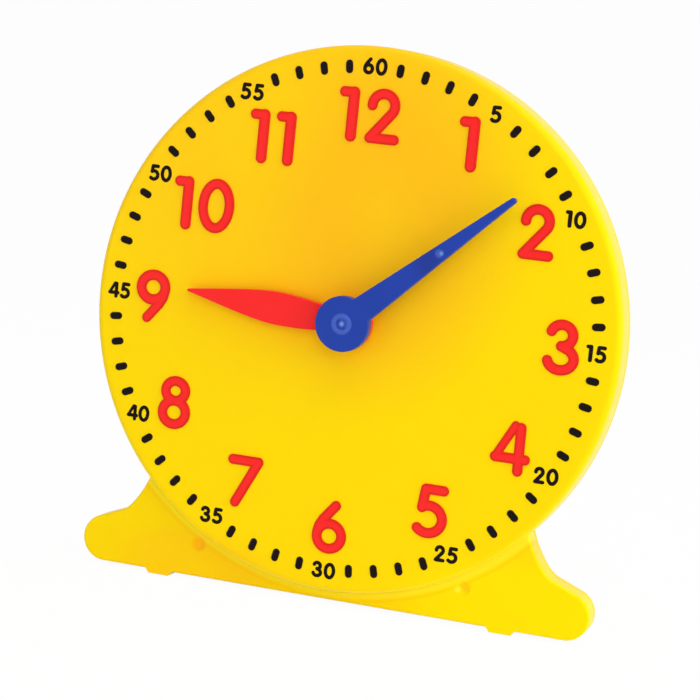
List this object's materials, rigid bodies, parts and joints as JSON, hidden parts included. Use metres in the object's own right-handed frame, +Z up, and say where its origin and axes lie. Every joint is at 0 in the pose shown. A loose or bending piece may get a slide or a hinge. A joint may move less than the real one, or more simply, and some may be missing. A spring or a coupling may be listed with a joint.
{
  "type": "teaching clock",
  "caption": "Small round geared teaching clock on a lobed stand, with raised hour numerals, two linked hands, a screwed rear cover and two rear feet.",
  "frame": {"origin": "on the surface that the feet stand on, in the middle of the object's box", "axes": "+X to the right of the dial as it is read, +Y away from the reader, +Z up; the dial faces -Y"},
  "size_m": [0.1, 0.0452, 0.1028],
  "materials": {
    "yellow_plastic": "satin moulded",
    "red_plastic": "smooth moulded",
    "blue_plastic": "smooth moulded",
    "black_print": "printed",
    "gear_plastic": "moulded",
    "steel": "zinc plated"
  },
  "bodies": {
    "case": {"cover_screw_1": "steel", "cover_screw_2": "steel", "cover_screw_3": "steel", "cover_screw_4": "steel", "cover_screw_5": "steel", "cover_screw_6": "steel", "foot_screw_left": "steel", "foot_screw_right": "steel", "friction_washer": "steel", "front_case": "yellow_plastic", "idler_post": "steel", "numeral_1": "red_plastic", "numeral_10_tens": "red_plastic", "numeral_10_units": "red_plastic", "numeral_11_tens": "red_plastic", "numeral_11_units": "red_plastic", "numeral_12_tens": "red_plastic", "numeral_12_units": "red_plastic", "numeral_2": "red_plastic", "numeral_3": "red_plastic", "numeral_4": "red_plastic", "numeral_5": "red_plastic", "numeral_6": "red_plastic", "numeral_7": "red_plastic", "numeral_8": "red_plastic", "numeral_9": "red_plastic", "rear_cover": "yellow_plastic", "rear_foot_left": "yellow_plastic", "rear_foot_right": "yellow_plastic"},
    "minute_work": {"minute_hand": "blue_plastic", "minute_arbor": "gear_plastic", "minute_pinion": "gear_plastic"},
    "idler_work": {"idler_wheel": "gear_plastic"},
    "hour_work": {"hour_hand": "red_plastic", "hour_wheel": "gear_plastic", "hand_spacer": "gear_plastic"}
  },
  "joints": [
    {"name": "minute_turn", "type": "hinge", "parent": "case", "child": "minute_work", "pos_m": [0, -0.01742, 0.0528], "axis": [0, 1, 0], "continuous": true},
    {"name": "idler_turn", "type": "hinge", "parent": "case", "child": "idler_work", "pos_m": [0, -0.01742, 0.0318], "axis": [0, 1, 0], "continuous": true},
    {"name": "hour_turn", "type": "hinge", "parent": "case", "child": "hour_work", "pos_m": [0, -0.01742, 0.0528], "axis": [0, 1, 0], "continuous": true}
  ],
  "couplings": [
    {"joint": "idler_turn", "follows": "minute_turn", "ratio": -0.33333},
    {"joint": "hour_turn", "follows": "minute_turn", "ratio": 0.083333}
  ]
}
